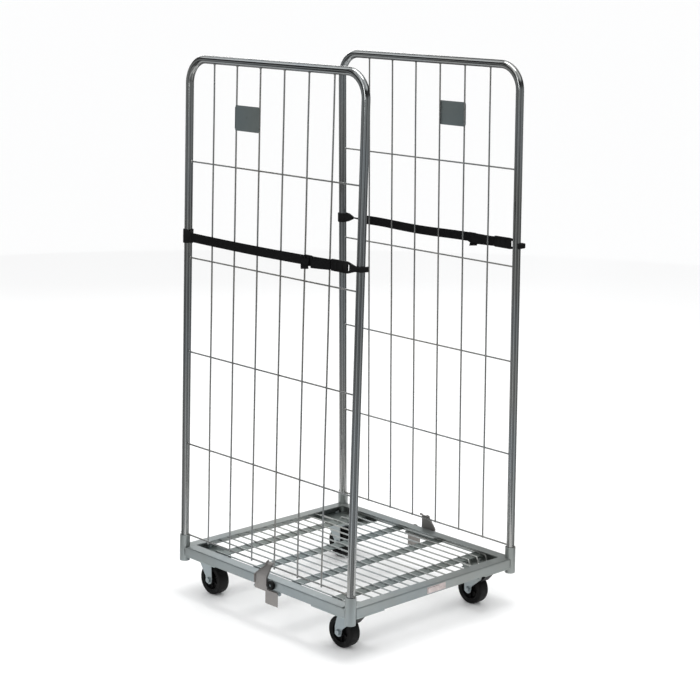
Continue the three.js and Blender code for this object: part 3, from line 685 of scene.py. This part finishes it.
def add_panel_welds(name, side):
    bm = bmesh.new()
    seed = 0
    for y in upright_places():
        for level in range(WIRE_LEVELS):
            seed += 1
            blob(bm, (side * WIRE_STACK / 2, y, level * WIRE_RISE), (0.0026, 0.0031, 0.0029), seed)
        blob(bm, (side * WIRE_STACK, y, TOP_TUBE - TUBE_R), (0.0038, 0.0042, 0.0030), seed)
        blob(bm, (side * WIRE_STACK * 0.9, y, -0.0035), (0.0030, 0.0032, 0.0026), seed)
    for end in (-1, 1):
        for level in range(WIRE_LEVELS):
            seed += 1
            blob(bm, (0, end * (POLE_Y - TUBE_R), level * WIRE_RISE), (0.0040, 0.0030, 0.0042), seed)
        blob(bm, (0, end * (POLE_Y + TUBE_R), 0), (0.0040, 0.0026, 0.0042), seed)
    add_side_piece("panel_welds", name, side, bm, "zinc_wire", "panel")


def add_card_plate(name, side):
    """Thin sheet with rounded corners, its two side edges rolled round the upright wires."""
    low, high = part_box(f"card_plate_{name}")
    into = panel_space(side).inverted()
    middle = into @ ((low + high) / 2)
    half_y = (high.y - low.y) / 2
    half_z = (high.z - low.z) / 2 / math.cos(LEAN) - 0.0002
    depth = 0.0012
    bm = bmesh.new()
    outline = rounded(rectangle(-half_y, -half_z, half_y, half_z), 0.004)
    plate(bm, outline, -depth / 2, depth / 2,
          lambda a, b, d: Vector((middle.x + d, middle.y + a, middle.z + b)), 0.0003)
    for edge in (-1, 1):
        slab(bm, (middle.x - 0.0022, middle.y + edge * half_y - 0.0014, middle.z - half_z + 0.006),
             (middle.x + 0.0006, middle.y + edge * half_y + 0.0001, middle.z + half_z - 0.006), 0.0004)
    add_side_piece("card_sheet", name, side, bm, "zinc_sheet", "panel", "card_plate")


# ---------------------------------------------------------------- straps
TONGUE_END = 0.3525
HOOK_TAIL = -0.285
HOOK_WAIST = -0.341
SLIDE_Y = -0.188
WEB_HALF = 0.0145
WEB_THICK = 0.002
# Half heights of each sewn loop: round the pole, where it leaves it, and at its pinched end.
LOOP_HEIGHTS = {"left": (0.0215, 0.0200, 0.0150), "right": (0.0150, 0.0125, 0.0045)}


def ribbon(bm, stations, half_width, thickness, uv):
    """A flat strap through stations of (place, across, outward). Its UVs are in metres along it."""
    rows = []
    run = 0.0
    edge = thickness * 0.35
    section = [(-half_width, 0), (-half_width + edge, 1), (-half_width / 3, 1), (half_width / 3, 1),
               (half_width - edge, 1), (half_width, 0), (half_width - edge, -1),
               (half_width / 3, -1), (-half_width / 3, -1), (-half_width + edge, -1)]
    for index, (place, across, outward) in enumerate(stations):
        if index:
            run += (place - stations[index - 1][0]).length
        ring = [bm.verts.new(place + across * a + outward * (b * thickness / 2)) for a, b in section]
        rows.append((run, ring))
    for (low_run, low), (high_run, high) in zip(rows, rows[1:]):
        for index in range(len(section)):
            after = (index + 1) % len(section)
            face = bm.faces.new((low[index], low[after], high[after], high[index]))
            corners = ((low_run, index), (low_run, after), (high_run, after), (high_run, index))
            for loop, (v, corner) in zip(face.loops, corners):
                loop[uv].uv = (section[corner][0], v)
    bm.faces.new(rows[0][1][::-1])
    bm.faces.new(rows[-1][1])


def strap_wave(y, side):
    """How far the webbing hangs and bows between its ends, in height and outward."""
    part = (TONGUE_END - y) / (TONGUE_END - HOOK_TAIL)
    sag = -0.0025 * math.sin(part * math.pi) if side < 0 else 0.0020 * math.sin(part * 9.5) - 0.0015
    bow = 0.0016 * math.sin(part * math.pi) + (0.0008 * math.sin(part * 14) if side > 0 else 0)
    return sag * min(1, 12 * part, 12 * (1 - part)), bow


def strap_twist(y, side):
    """The right strap leaves its loop on edge and lies flat again a little further on."""
    if side < 0:
        return 0.0
    part = min(max((0.326 - y) / 0.044, 0), 1)
    return math.pi / 2 * (1 - part * part * (3 - 2 * part))


def strap_gather(y, side):
    """The right strap is gathered where its loop pinches it."""
    if side < 0:
        return 1.0
    part = min(max((0.345 - y) / 0.055, 0), 1)
    return 0.45 + 0.55 * part


def add_webbing(name, side):
    bm = bmesh.new()
    uv = bm.loops.layers.uv.new("strap")
    count = 130
    stations = []
    for index in range(count + 1):
        y = TONGUE_END + 0.010 + (HOOK_TAIL + 0.004 - TONGUE_END - 0.010) * index / count
        rise, bow = strap_wave(y, side)
        turn = strap_twist(y, side)
        across = Vector((math.sin(turn), 0, math.cos(turn))) * strap_gather(y, side)
        outward = Vector((math.cos(turn), 0, -math.sin(turn)))
        stations.append((Vector((side * (STRAP_OUT + bow), y, STRAP_Z + rise)), across, outward))
    ribbon(bm, stations, WEB_HALF, WEB_THICK, uv)
    # The returning layer, from the hook's bar back to the slide, a little lower than the first.
    back = []
    for index in range(41):
        part = index / 40
        y = HOOK_TAIL + 0.004 + (SLIDE_Y - 0.012 - HOOK_TAIL - 0.004) * part
        rise, bow = strap_wave(y, side)
        away = STRAP_OUT + bow + 0.0024 + 0.0016 * math.sin(part * math.pi)
        drop = 0.0022 + 0.0040 * part
        back.append((Vector((side * away, y, STRAP_Z + rise - drop)), Vector((0, 0, 1)), Vector((1, 0, 0))))
    ribbon(bm, back, WEB_HALF - 0.0003, WEB_THICK * 0.9, uv)
    # The tail comes out of the slide, folds down and hangs below the strap.
    tail = []
    shift, lean, droop = (0.0110, 0.004, 0.031) if side < 0 else (-0.0030, 0.004, 0.031)
    for index in range(25):
        part = index / 24
        y = SLIDE_Y + shift + lean * (part - 0.5)
        away = STRAP_OUT + 0.0040 + 0.0026 * math.sin(part * math.pi)
        across = Vector((0, 1, -lean / droop)).normalized()
        tail.append((Vector((side * away, y, STRAP_Z + 0.004 - droop * part)), across, Vector((1, 0, 0))))
    ribbon(bm, tail, WEB_HALF + 0.002, WEB_THICK * 1.3, uv)
    hem = [(place + Vector((side * 0.0016, 0, 0.0006)), across, outward)
           for place, across, outward in tail[-8:]]
    ribbon(bm, hem, WEB_HALF - 0.0004, WEB_THICK * 0.9, uv)
    add_side_piece("webbing", name, side, bm, "black_webbing", "strap", "strap_webbing", sharp=50)


def add_stitches(name, side):
    """Rows of short thread stitches: a box with one cross row at the loop."""
    bm = bmesh.new()
    length, pitch, depth = 0.0024, 0.0036, 0.0004

    def row(start, end):
        start, end = Vector(start), Vector(end)
        count = int((end - start).length / pitch)
        step = (end - start) / count
        for index in range(count):
            middle = start + step * (index + 0.5)
            half = step.normalized() * length / 2
            rod(bm, [middle - half, middle, middle + half], depth, 6, 0.0002)

    face = side * (STRAP_OUT + 0.00155)
    near, far = LOOP_HEIGHTS[name][2] - 0.0025, LOOP_HEIGHTS[name][1] - 0.0035
    corners = [(face, TONGUE_END + 0.001, near), (face, TONGUE_END + 0.016, far),
               (face, TONGUE_END + 0.016, -far), (face, TONGUE_END + 0.001, -near)]
    for index, corner in enumerate(corners):
        after = corners[(index + 1) % 4]
        row((corner[0], corner[1], STRAP_Z + corner[2]), (after[0], after[1], STRAP_Z + after[2]))
    row((corners[0][0], corners[0][1], STRAP_Z + corners[0][2]),
        (corners[2][0], corners[2][1], STRAP_Z + corners[2][2]))
    add_side_piece("stitches", name, side, bm, "black_webbing", "strap")


def add_strap_loop(name, side):
    """One band round the rear pole. Its two ends close on the webbing and taper down to it."""
    bm = bmesh.new()
    thick, lip = 0.0030, 0.0008
    section = [(0.55, 1, 0), (1, 1, lip), (1, -1, lip), (0.55, -1, 0),
               (-0.55, -1, 0), (-1, -1, lip), (-1, 1, lip), (-0.55, 1, 0)]
    radius = TUBE_R + 0.0008 + thick / 2
    full, middle, pinch = LOOP_HEIGHTS[name]
    line = [(STRAP_OUT, TONGUE_END, pinch), (STRAP_OUT, TONGUE_END + 0.009, (middle + pinch) / 2),
            (STRAP_OUT, TONGUE_END + 0.018, middle)]
    for step in range(31):
        turn = math.radians(-12 + step * 8.6)
        line.append((radius * math.cos(turn), POLE_Y + radius * math.sin(turn), full))
    line += [(STRAP_OUT - 0.0062, TONGUE_END + 0.014, middle),
             (STRAP_OUT - 0.0034, TONGUE_END + 0.008, (middle + pinch) / 2),
             (STRAP_OUT - 0.0030, TONGUE_END + 0.001, pinch)]
    places = [Vector((side * x, y, 0)) for x, y, half in line]
    rings = []
    for index, place in enumerate(places):
        ahead = places[min(index + 1, len(places) - 1)] - places[max(index - 1, 0)]
        out = Vector((ahead.y, -ahead.x, 0)).normalized() * thick / 2
        half = line[index][2]
        rings.append([place + out * share + Vector((0, 0, STRAP_Z + way * (half - inset)))
                      for share, way, inset in section])
    loft(bm, rings)
    add_side_piece("sewn_loop", name, side, bm, "strap_rubber", "strap", "strap_loop", sharp=40)


def add_slide(name, side):
    """Ladder slide: a frame with a middle bar, the webbing woven through it."""
    bm = bmesh.new()
    x = side * (STRAP_OUT + 0.0018)
    half_y, half_z, bar = 0.0140, 0.0146, 0.0050
    for y in (-half_y, 0, half_y):
        slab(bm, (x - 0.0024, SLIDE_Y + y - bar / 2, STRAP_Z - half_z),
             (x + 0.0024, SLIDE_Y + y + bar / 2, STRAP_Z + half_z), 0.0008)
    for z in (-1, 1):
        slab(bm, (x - 0.0020, SLIDE_Y - half_y, STRAP_Z + z * half_z - 0.0022),
             (x + 0.0020, SLIDE_Y + half_y, STRAP_Z + z * half_z + 0.0008), 0.0008)
    add_side_piece("slide", name, side, bm, "black_plastic", "strap", "strap_slide")


def add_hook(name, side):
    """Moulded hook: webbing bar, waist with a slot, neck across the pole and a bent finger."""
    bm = bmesh.new()
    x = side * STRAP_OUT
    neck_end = -POLE_Y - TUBE_R - 0.0013

    def to_space(a, b, depth):
        return Vector((x + depth, a, STRAP_Z + b))

    half = 0.0025
    profile = [(HOOK_TAIL + 0.001, 0.0172, 0.003), (-0.352, 0.0175, 0.006), (-0.369, 0.0122, 0.010),
               (-0.385, 0.0076, 0.008), (neck_end - 0.006, 0.0076, 0.003)]
    body = rounded([(y, -height, round_off) for y, height, round_off in profile]
                   + [(y, height, round_off) for y, height, round_off in profile[::-1]], 0.004)
    plate(bm, body, -half, half, to_space, 0.0008, 3)
    slot_cut(bm, x, -0.3555, 0.0042, 0.0100)
    for edge in (-1, 1):
        slab(bm, (x - 0.0034, HOOK_WAIST + 0.004, STRAP_Z + edge * 0.0145 - 0.0016),
             (x + 0.0034, HOOK_TAIL - 0.004, STRAP_Z + edge * 0.0145 + 0.0016), 0.0007)
    for y in (HOOK_TAIL - 0.006, HOOK_TAIL - 0.022, HOOK_WAIST + 0.010):
        slab(bm, (x - 0.0032, y - 0.0016, STRAP_Z - 0.0150), (x + 0.0032, y + 0.0016, STRAP_Z + 0.0150),
             0.0007)
    slab(bm, (x - 0.0031, neck_end + 0.004, STRAP_Z - 0.0022),
         (x + 0.0031, HOOK_WAIST - 0.040, STRAP_Z + 0.0022), 0.0009)
    inner = -side * TUBE_R
    slab(bm, (min(inner, x), neck_end - 0.0062, STRAP_Z - 0.0078),
         (max(inner, x), neck_end - 0.0004, STRAP_Z + 0.0078), 0.0016, segments=3)
    add_side_piece("hook", name, side, bm, "black_plastic", "strap", "strap_hook")


def slot_cut(bm, x, y, half_y, half_z):
    """Cuts a slot through the hook's plate: both faces around it are joined by a rim."""
    cutter = bmesh.new()
    outline = rounded(rectangle(-half_y, -half_z, half_y, half_z), half_y, 5)
    plate(cutter, outline, -0.01, 0.01, lambda a, b, d: Vector((x + d, y + a, STRAP_Z + b)), 0)
    base = bpy.data.meshes.new("slot_base")
    bm.to_mesh(base)
    tool = bpy.data.meshes.new("slot_tool")
    bmesh.ops.recalc_face_normals(cutter, faces=cutter.faces)
    cutter.to_mesh(tool)
    cutter.free()
    bm.clear()
    bm.from_mesh(cut_mesh(base, [tool]))


def cut_mesh(base, tools):
    """The base mesh with each tool mesh cut out of it."""
    piece = bpy.data.objects.new("cut_base", base)
    bpy.context.scene.collection.objects.link(piece)
    knives = []
    for tool in tools:
        knife = bpy.data.objects.new("cut_tool", tool)
        bpy.context.scene.collection.objects.link(knife)
        modifier = piece.modifiers.new("cut", "BOOLEAN")
        modifier.operation = "DIFFERENCE"
        modifier.solver = "EXACT"
        modifier.object = knife
        knives.append(knife)
    bpy.context.view_layer.update()
    result = bpy.data.meshes.new_from_object(
        piece.evaluated_get(bpy.context.evaluated_depsgraph_get()))
    for spent in (piece, *knives):
        bpy.data.objects.remove(spent)
    return result


# ---------------------------------------------------------------- base
def add_rails():
    for node in ("side_rail_left", "side_rail_right", "front_rail", "rear_rail"):
        refined(node, "zinc_steel", 0.0006, turn_limit=40)


def add_sockets():
    wall = 0.003
    outer = TUBE_R + 0.004
    top, low = -0.003, -0.089
    edge = 0.0006
    profile = [(outer - wall, low + edge), (outer - wall + edge, low), (outer - edge, low),
               (outer, low + edge), (outer, top - edge), (outer - edge, top),
               (outer - wall + edge, top), (outer - wall, top - edge)]
    for side_name, side in SIDES.items():
        for end_name, end in ENDS.items():
            bm = bmesh.new()
            turned(bm, profile, panel_space(side) @ Matrix.Translation((0, end * POLE_Y, 0)), 44)
            node = f"corner_socket_{end_name}_{side_name}"
            add_piece(f"{node}_tube", bm, "zinc_steel", "base", [node])


def add_base_welds():
    """Seams where the rails meet the sockets, and where the gusset plates meet rails and sockets."""
    bm = bmesh.new()
    outset = RAIL_X - PANEL_X
    reach = math.sqrt((TUBE_R + 0.004) ** 2 - outset ** 2)
    low, high = RAIL_LOW + 0.001, RAIL_TOP - 0.002
    seed = 0
    for side in SIDES.values():
        shift = [side * (PANEL_X - math.sin(LEAN) * (z - BOTTOM_WIRE_Z)) for z in (low, high)]
        for end in ENDS.values():
            seed += 1
            side_seam = [(side * RAIL_X, end * (POLE_Y - reach), z) for z in (low, high)]
            bead(bm, side_seam[0], side_seam[1], 0.0022, seed)
            end_seam = [(x - side * reach, end * RAIL_Y, z) for x, z in zip(shift, (low, high))]
            bead(bm, end_seam[0], end_seam[1], 0.0022, seed + 40)
            inner = side * (RAIL_X - 0.037)
            bead(bm, (side * (RAIL_X - 0.024), end * (RAIL_Y - 0.037), RAIL_TOP - 0.0008),
                 (inner, end * (RAIL_Y - 0.037), RAIL_TOP - 0.0008), 0.0016, seed + 80)
    add_piece("base_welds", bm, "zinc_steel", "base")


def add_floor():
    low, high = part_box("floor_grid")
    strips, pitch_y, width, thickness = 4, 0.1813, 0.040, 0.003
    wires, pitch_x, short = 18, 0.0393, 3
    wire_z = high.z - WIRE_R
    strip_top = wire_z - WIRE_R + 0.0004
    bend_y = (strips - 1) / 2 * pitch_y + width / 2
    bm = bmesh.new()
    for index in range(strips):
        y = (index - (strips - 1) / 2) * pitch_y
        slab(bm, (low.x, y - width / 2, strip_top - thickness), (high.x, y + width / 2, strip_top), 0.0007)
    # The strips wear the darker zinc copy: painted shade.
    add_piece("floor_strips", bm, "zinc_steel", "base", look="zinc_strip_painted_shade")
    bm = bmesh.new()
    for index in range(wires):
        x = (index - (wires - 1) / 2) * pitch_x
        if short <= index < wires - short:
            rod(bm, [(x, low.y, wire_z), (x, 0, wire_z), (x, high.y, wire_z)], WIRE_R, 16)
            continue
        foot = [(0.0, 0.0), (0.0035, -0.0008), (0.0065, -0.0034), (0.0092, -0.0082), (0.0122, -0.0152)]
        drop = (wire_z - PLATE_TOP - WIRE_R) / 0.0152
        bent = [(x, bend_y + away, wire_z + fall * drop) for away, fall in foot]
        rod(bm, [(x, -y, z) for x, y, z in bent[::-1]] + [(x, 0, wire_z)] + bent, WIRE_R, 16)
    for index in range(wires):
        x = (index - (wires - 1) / 2) * pitch_x
        for strip in range(strips):
            y = (strip - (strips - 1) / 2) * pitch_y
            blob(bm, (x, y, strip_top + 0.0002), (0.0034, 0.0056, 0.0011), index * 5 + strip)
        for end in (-1, 1):
            seed = index * 7 + end
            if short <= index < wires - short:
                blob(bm, (x, end * (high.y - 0.0012), wire_z), (0.0033, 0.0016, 0.0030), seed)
            else:
                foot_place = (x, end * (bend_y + 0.0122), PLATE_TOP + 0.0012)
                blob(bm, foot_place, (0.0038, 0.0042, 0.0018), seed)
    # The floor wires wear the lighter zinc copy: painted light.
    add_piece("floor_wires", bm, "zinc_steel", "base", ["floor_grid"], look="zinc_floor_painted_light")


def add_corner_plates():
    # The corner plates wear a lighter copy of the zinc steel: painted light.
    for side_name in SIDES:
        for end_name in ENDS:
            refined(f"corner_plate_{end_name}_{side_name}", "zinc_steel", 0.0006, look="zinc_corner_painted_light")


def add_label():
    """A blank sticker with a thin dark frame on two edges, no lettering."""
    low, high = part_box("front_label")
    bm = bmesh.new()
    outline = rounded(rectangle(low.x, low.z, high.x, high.z), 0.0015)
    plate(bm, outline, high.y - 0.0007, high.y + 0.0003, lambda a, b, d: Vector((a, d, b)), 0.00015)
    add_piece("front_sticker", bm, "blank_label", "base", ["front_label"])
    bm = bmesh.new()
    face = high.y - 0.00075
    back, front, left, line_z = face - 0.0001, face + 0.0004, low.x + 0.002, high.z - 0.0030
    slab(bm, (left, back, line_z), (high.x - 0.030, front, high.z - 0.0018), 0.00008)
    slab(bm, (left, back, low.z + 0.0020), (low.x + 0.0034, front, line_z), 0.00008)
    add_piece("sticker_lines", bm, "black_plastic", "base")


# ---------------------------------------------------------------- foot latches
def add_latches():
    for name, side in SIDES.items():
        refined(f"latch_plate_{name}", "zinc_steel", 0.0004, sharp=40, look="zinc_latch")
        refined(f"latch_bracket_{name}", "zinc_steel", 0.0004)
        refined(f"latch_pin_{name}", "zinc_caster", 0.0004)
        low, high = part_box(f"rail_buffer_{name}")
        middle = (low + high) / 2
        place = Matrix.Translation((side * RAIL_X, middle.y, middle.z)) @ Matrix.Rotation(
            side * math.pi / 2, 4, "Y")
        depth = high.x - low.x
        bm = bmesh.new()
        disc(bm, [(0.0138, 0.0003), (0.0140, 0.0012), (0.0140, depth - 0.0035), (0.0130, depth - 0.0012),
                  (0.0108, depth), (0.0058, depth), (0.0050, depth - 0.0012), (0.0048, depth - 0.0035)],
             place, 40)
        add_piece(f"buffer_{name}", bm, "black_rubber", "base", [f"rail_buffer_{name}"])
        bm = bmesh.new()
        disc(bm, [(0.0044, depth - 0.0046), (0.0044, depth - 0.0032), (0.0036, depth - 0.0026),
                  (0.0010, depth - 0.0024)], place, 24)
        add_piece(f"buffer_screw_{name}", bm, "zinc_steel", "base", look="zinc_sheet")


# ---------------------------------------------------------------- casters
def wheel_bodies():
    """Each wheel's name, its middle, the body that carries it and its own body."""
    for side_name in SIDES:
        for end_name in ENDS:
            place = f"{end_name}_{side_name}"
            low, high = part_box(f"tyre_{place}")
            carrier = f"swivel_{side_name}" if end_name == "front" else "base"
            yield place, (low + high) / 2, carrier, f"wheel_{place}"


def add_wheels():
    across = Matrix.Rotation(math.pi / 2, 4, "Y")
    half = (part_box("tyre_rear_left")[1].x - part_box("tyre_rear_left")[0].x) / 2
    hub = 0.0358
    for place, middle, carrier, body in wheel_bodies():
        space = Matrix.Translation(middle) @ across
        bm = bmesh.new()
        side_wall = [(hub + 0.0004, half - 0.0016), (hub + 0.0012, half - 0.0006), (0.0385, half - 0.0002),
                     (0.0392, half - 0.0009), (0.0402, half - 0.0009), (0.0409, half - 0.0002),
                     (0.0445, half), (0.0468, half - 0.0006), (0.0486, half - 0.0022),
                     (WHEEL_R - 0.0005, half - 0.0052), (WHEEL_R, half - 0.0100)]
        turned(bm, side_wall + [(r, -x) for r, x in side_wall[::-1]], space, 96)
        add_piece(f"tread_{place}", bm, "black_rubber", body, [f"tyre_{place}"])
        bm = bmesh.new()
        face = [(0.0064, half + 0.0015), (0.0124, half + 0.0015), (0.0130, half + 0.0009),
                (0.0140, 0.0072), (0.0160, 0.0055), (0.0290, 0.0055), (0.0318, 0.0076),
                (0.0326, half - 0.0022), (0.0334, half - 0.0014), (hub, half - 0.0014)]
        turned(bm, face + [(r, -x) for r, x in face[::-1]], space, 72)
        for index in range(6):
            turn = space @ Matrix.Rotation(index * math.pi / 3, 4, "Z")
            slab(bm, (0.0125, -0.0014, -0.0125), (0.0325, 0.0014, 0.0125), 0.0005, turn)
        add_piece(f"rim_{place}", bm, "black_plastic", body, [f"wheel_hub_{place}"])
        add_axle(place, middle, carrier)


def add_axle(place, middle, carrier):
    """Hexagon bolt through the fork, a washer under its head and a nut with its thread end."""
    head = 0.006
    leg = middle.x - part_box(f"axle_bolt_{place}")[0].x - head
    bm = bmesh.new()
    for way in (-1, 1):
        space = Matrix.Translation(middle) @ Matrix.Rotation(way * math.pi / 2, 4, "Y")
        disc(bm, [(0.0040, leg - 0.0002), (0.0098, leg), (0.0100, leg + 0.0004), (0.0100, leg + 0.0011),
                  (0.0097, leg + 0.0014), (0.0040, leg + 0.0014)], space, 32)
        hexagon(bm, space, 0.0160, 0.0050, leg + 0.0014)
    space = Matrix.Translation(middle) @ Matrix.Rotation(math.pi / 2, 4, "Y")
    rings = []
    turns = 5
    for index in range(turns * 2 + 1):
        rings.append((0.0050 if index % 2 else 0.0056, leg + 0.0060 + index * 0.0002))
    disc(bm, [(0.0048, leg + 0.0050), *rings, (0.0044, leg + 0.0084)], space, 24)
    disc(bm, [(0.0060, -leg - 0.003), (0.0060, leg + 0.003)], space, 32)
    add_piece(f"axle_{place}", bm, "zinc_caster", carrier, [f"axle_bolt_{place}"])


def add_forks():
    for name in SIDES:
        refined(f"fixed_fork_rear_{name}", "zinc_caster", 0.0008, turn_limit=26)
        refined(f"swivel_fork_front_{name}", "zinc_caster", 0.0008, turn_limit=26)
        refined(f"swivel_plate_front_{name}", "zinc_caster", 0.0006, turn_limit=26)
        refined(f"kingpin_front_{name}", "zinc_caster", 0.0005, turn_limit=32)
        refined(f"brake_pedal_front_{name}", "black_plastic", 0.0012, turn_limit=26)


def add_caster_bolts():
    """Four bolts through each caster plate and gusset plate, nuts above and heads below."""
    bm = bmesh.new()
    for side_name in SIDES:
        for end_name in ENDS:
            node = f"fixed_fork_rear_{side_name}" if end_name == "rear" else f"swivel_plate_front_{side_name}"
            low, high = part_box(node)
            middle_x = (low.x + high.x) / 2
            half_x = 0.0325
            inset = 0.0095
            for x in (middle_x - half_x, middle_x + half_x):
                for y in (low.y + inset, high.y - inset) if end_name == "front" else rear_bolts(high.y):
                    up = Matrix.Translation((x, y, PLATE_TOP))
                    disc(bm, [(0.0030, -0.0002), (0.0078, 0), (0.0080, 0.0004), (0.0078, 0.0014),
                              (0.0030, 0.0014)], up, 24)
                    hexagon(bm, up, 0.0115, 0.0055, 0.0014)
                    disc(bm, [(0.0036, 0.0060), (0.0036, 0.0088), (0.0030, 0.0094)], up, 20)
                    down = Matrix.Translation((x, y, high.z - SHEET)) @ Matrix.Rotation(math.pi, 4, "X")
                    disc(bm, [(0.0058, 0), (0.0058, 0.0004), (0.0050, 0.0022), (0.0026, 0.0030)], down, 24)
    add_piece("caster_bolts", bm, "zinc_caster", "base")


def rear_bolts(high_y):
    return (high_y - 0.0945, high_y - 0.0095)


# ---------------------------------------------------------------- build
add_camera()
add_studio()
for side_name, side in SIDES.items():
    add_tube_frame(side_name, side)
    add_wire_mesh(side_name, side)
    add_panel_welds(side_name, side)
    add_card_plate(side_name, side)
    add_webbing(side_name, side)
    add_stitches(side_name, side)
    add_strap_loop(side_name, side)
    add_slide(side_name, side)
    add_hook(side_name, side)
add_rails()
add_sockets()
add_base_welds()
add_floor()
add_corner_plates()
add_label()
add_latches()
add_wheels()
add_forks()
add_caster_bolts()
